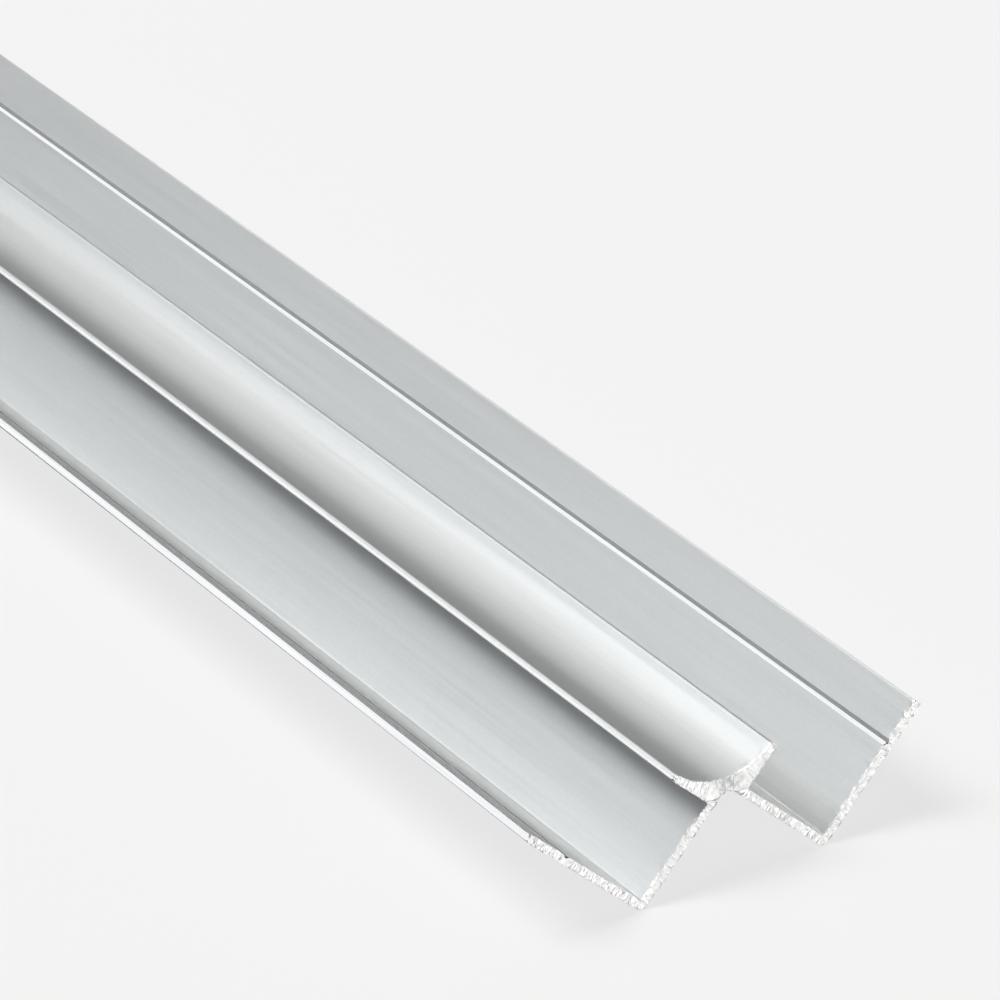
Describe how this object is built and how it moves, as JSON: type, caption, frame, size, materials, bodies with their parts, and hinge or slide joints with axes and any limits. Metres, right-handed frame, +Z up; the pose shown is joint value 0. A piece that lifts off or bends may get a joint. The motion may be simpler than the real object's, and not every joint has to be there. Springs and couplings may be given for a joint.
{
  "type": "aluminium corner trim",
  "caption": "Extruded aluminium inside-corner trim with a channel for a wall panel's edge on each side, a cove face between the cover wings and a V drill line along each wall flange.",
  "frame": {"origin": "on the floor that the piece lies on, under the cove's middle line and halfway along the piece", "axes": "+Z up, out of the cove; +Y along the piece, away from the sawn end in the picture; +X to the right of that end as it is looked at"},
  "size_m": [0.0448, 2.45, 0.0131],
  "materials": {
    "anodised_aluminium": "satin anodised, with bare sawn ends"
  },
  "bodies": {
    "root": {"corner_trim": "anodised_aluminium"}
  },
  "joints": []
}
